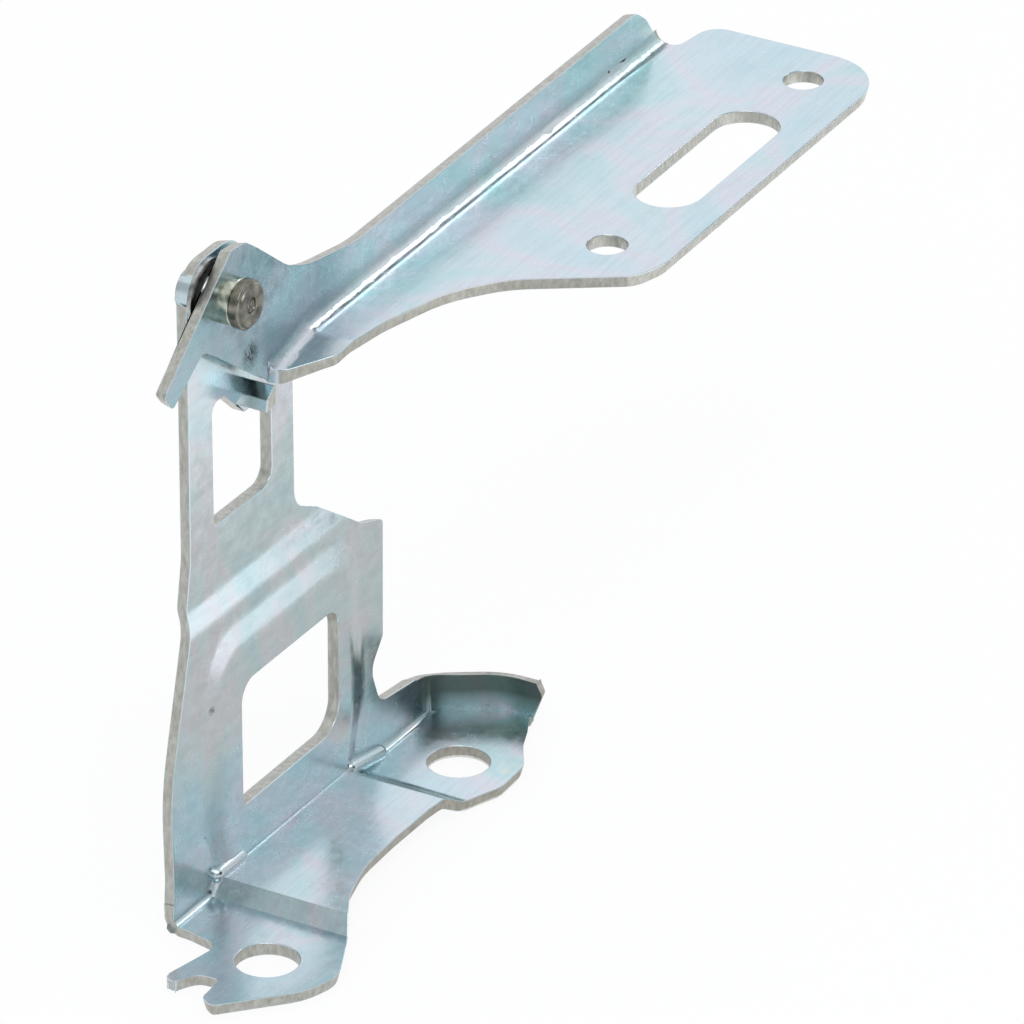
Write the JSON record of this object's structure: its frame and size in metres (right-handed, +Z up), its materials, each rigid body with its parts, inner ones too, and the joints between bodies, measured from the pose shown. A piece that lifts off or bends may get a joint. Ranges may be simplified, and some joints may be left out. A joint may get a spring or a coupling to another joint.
{
  "type": "bonnet hinge",
  "caption": "Vehicle bonnet hinge: pressed base bracket with raised foot and window, riveted pivot with bush and collar, angled bonnet arm with bolt holes and slot, folding to a stop tab.",
  "frame": {"origin": "midway between the two bolt holes of the base bracket, on the underside of the foot that sits on the wing", "axes": "+X along the fold of the bracket from the forked pad toward the lipped pad, the way the arm points when the bonnet is shut; +Y toward the web; +Z up, square to the foot"},
  "size_m": [0.2394, 0.0622, 0.1548],
  "materials": {
    "bracket_zinc": "blue passivated zinc plate, satin",
    "arm_zinc": "blue passivated zinc plate, satin",
    "rivet_steel": "turned and formed steel, yellowish plate",
    "bush_lining": "dark lined bush",
    "washer_steel": "turned rim, plated",
    "collar_steel": "zinc plated, satin"
  },
  "bodies": {
    "base": {"base_bracket": "bracket_zinc", "pivot_rivet": "rivet_steel", "thrust_washer": "washer_steel", "rivet_collar": "collar_steel"},
    "arm": {"bonnet_arm": "arm_zinc", "pivot_bush": "bush_lining"}
  },
  "joints": [
    {"name": "arm_hinge", "type": "hinge", "parent": "base", "child": "arm", "pos_m": [-0.025, 0.0187, 0.1448], "axis": [0, -1, 0], "range_deg": [0, 79]}
  ]
}
